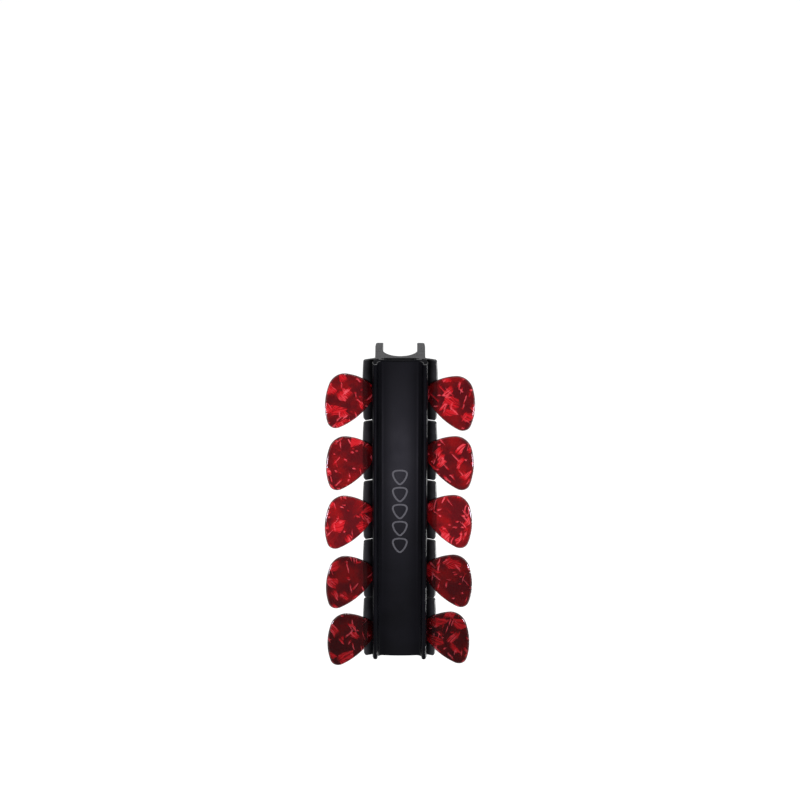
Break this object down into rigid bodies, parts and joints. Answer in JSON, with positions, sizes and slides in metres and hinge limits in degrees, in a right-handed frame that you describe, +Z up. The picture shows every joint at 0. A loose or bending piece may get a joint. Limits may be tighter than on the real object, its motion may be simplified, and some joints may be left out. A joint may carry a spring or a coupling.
{
  "type": "microphone stand pick holder",
  "caption": "Clip-on guitar pick holder that grips a microphone-stand tube and holds rounded-triangle picks in slots down both sides.",
  "frame": {"origin": "on the axis of the gripped tube, at half the holder's length", "axes": "+Z up along the tube, -Y out of the front cover, +X to the right seen from the front"},
  "size_m": [0.0773, 0.0323, 0.1725],
  "materials": {
    "rubber_body": "matte",
    "cover_plastic": "satin",
    "emblem_ink": "matte",
    "pick_celluloid": "polished pearl celluloid"
  },
  "bodies": {
    "holder": {"clamp_core": "rubber_body", "front_cover": "cover_plastic", "front_emblem": "emblem_ink"},
    "left_jaw": {"left_jaw": "rubber_body"},
    "right_jaw": {"right_jaw": "rubber_body"},
    "finger_left_1": {"finger_left_1": "rubber_body"},
    "finger_left_2": {"finger_left_2": "rubber_body"},
    "finger_left_3": {"finger_left_3": "rubber_body"},
    "finger_left_4": {"finger_left_4": "rubber_body"},
    "finger_left_5": {"finger_left_5": "rubber_body"},
    "pick_left_1": {"pick_left_1": "pick_celluloid"},
    "pick_left_2": {"pick_left_2": "pick_celluloid"},
    "pick_left_3": {"pick_left_3": "pick_celluloid"},
    "pick_left_4": {"pick_left_4": "pick_celluloid"},
    "pick_left_5": {"pick_left_5": "pick_celluloid"},
    "finger_right_1": {"finger_right_1": "rubber_body"},
    "finger_right_2": {"finger_right_2": "rubber_body"},
    "finger_right_3": {"finger_right_3": "rubber_body"},
    "finger_right_4": {"finger_right_4": "rubber_body"},
    "finger_right_5": {"finger_right_5": "rubber_body"},
    "pick_right_1": {"pick_right_1": "pick_celluloid"},
    "pick_right_2": {"pick_right_2": "pick_celluloid"},
    "pick_right_3": {"pick_right_3": "pick_celluloid"},
    "pick_right_4": {"pick_right_4": "pick_celluloid"},
    "pick_right_5": {"pick_right_5": "pick_celluloid"}
  },
  "joints": [
    {"name": "left_jaw_flex", "type": "hinge", "parent": "holder", "child": "left_jaw", "pos_m": [-0.0128, -0.0035, 0], "axis": [0, 0, 1], "range_deg": [0, 12], "stiffness_Nm_per_rad": 0.4},
    {"name": "right_jaw_flex", "type": "hinge", "parent": "holder", "child": "right_jaw", "pos_m": [0.0128, -0.0035, 0], "axis": [0, 0, -1], "range_deg": [0, 12], "stiffness_Nm_per_rad": 0.4},
    {"name": "left_finger_flex_1", "type": "hinge", "parent": "holder", "child": "finger_left_1", "pos_m": [-0.01429, -0.0119, 0.068], "axis": [0, 0, -1], "range_deg": [0, 20], "stiffness_Nm_per_rad": 0.05},
    {"name": "left_finger_flex_2", "type": "hinge", "parent": "holder", "child": "finger_left_2", "pos_m": [-0.01429, -0.0119, 0.034], "axis": [0, 0, -1], "range_deg": [0, 20], "stiffness_Nm_per_rad": 0.05},
    {"name": "left_finger_flex_3", "type": "hinge", "parent": "holder", "child": "finger_left_3", "pos_m": [-0.01429, -0.0119, 0], "axis": [0, 0, -1], "range_deg": [0, 20], "stiffness_Nm_per_rad": 0.05},
    {"name": "left_finger_flex_4", "type": "hinge", "parent": "holder", "child": "finger_left_4", "pos_m": [-0.01429, -0.0119, -0.034], "axis": [0, 0, -1], "range_deg": [0, 20], "stiffness_Nm_per_rad": 0.05},
    {"name": "left_finger_flex_5", "type": "hinge", "parent": "holder", "child": "finger_left_5", "pos_m": [-0.01429, -0.0119, -0.068], "axis": [0, 0, -1], "range_deg": [0, 20], "stiffness_Nm_per_rad": 0.05},
    {"name": "left_pick_slide_1", "type": "slide", "parent": "holder", "child": "pick_left_1", "axis": [-0.9336, -0.3584, 0], "range_m": [0, 0.025]},
    {"name": "left_pick_slide_2", "type": "slide", "parent": "holder", "child": "pick_left_2", "axis": [-0.9336, -0.3584, 0], "range_m": [0, 0.025]},
    {"name": "left_pick_slide_3", "type": "slide", "parent": "holder", "child": "pick_left_3", "axis": [-0.9336, -0.3584, 0], "range_m": [0, 0.025]},
    {"name": "left_pick_slide_4", "type": "slide", "parent": "holder", "child": "pick_left_4", "axis": [-0.9336, -0.3584, 0], "range_m": [0, 0.025]},
    {"name": "left_pick_slide_5", "type": "slide", "parent": "holder", "child": "pick_left_5", "axis": [-0.9336, -0.3584, 0], "range_m": [0, 0.025]},
    {"name": "right_finger_flex_1", "type": "hinge", "parent": "holder", "child": "finger_right_1", "pos_m": [0.01429, -0.0119, 0.068], "axis": [0, 0, 1], "range_deg": [0, 20], "stiffness_Nm_per_rad": 0.05},
    {"name": "right_finger_flex_2", "type": "hinge", "parent": "holder", "child": "finger_right_2", "pos_m": [0.01429, -0.0119, 0.034], "axis": [0, 0, 1], "range_deg": [0, 20], "stiffness_Nm_per_rad": 0.05},
    {"name": "right_finger_flex_3", "type": "hinge", "parent": "holder", "child": "finger_right_3", "pos_m": [0.01429, -0.0119, 0], "axis": [0, 0, 1], "range_deg": [0, 20], "stiffness_Nm_per_rad": 0.05},
    {"name": "right_finger_flex_4", "type": "hinge", "parent": "holder", "child": "finger_right_4", "pos_m": [0.01429, -0.0119, -0.034], "axis": [0, 0, 1], "range_deg": [0, 20], "stiffness_Nm_per_rad": 0.05},
    {"name": "right_finger_flex_5", "type": "hinge", "parent": "holder", "child": "finger_right_5", "pos_m": [0.01429, -0.0119, -0.068], "axis": [0, 0, 1], "range_deg": [0, 20], "stiffness_Nm_per_rad": 0.05},
    {"name": "right_pick_slide_1", "type": "slide", "parent": "holder", "child": "pick_right_1", "axis": [0.9336, -0.3584, 0], "range_m": [0, 0.025]},
    {"name": "right_pick_slide_2", "type": "slide", "parent": "holder", "child": "pick_right_2", "axis": [0.9336, -0.3584, 0], "range_m": [0, 0.025]},
    {"name": "right_pick_slide_3", "type": "slide", "parent": "holder", "child": "pick_right_3", "axis": [0.9336, -0.3584, 0], "range_m": [0, 0.025]},
    {"name": "right_pick_slide_4", "type": "slide", "parent": "holder", "child": "pick_right_4", "axis": [0.9336, -0.3584, 0], "range_m": [0, 0.025]},
    {"name": "right_pick_slide_5", "type": "slide", "parent": "holder", "child": "pick_right_5", "axis": [0.9336, -0.3584, 0], "range_m": [0, 0.025]}
  ]
}
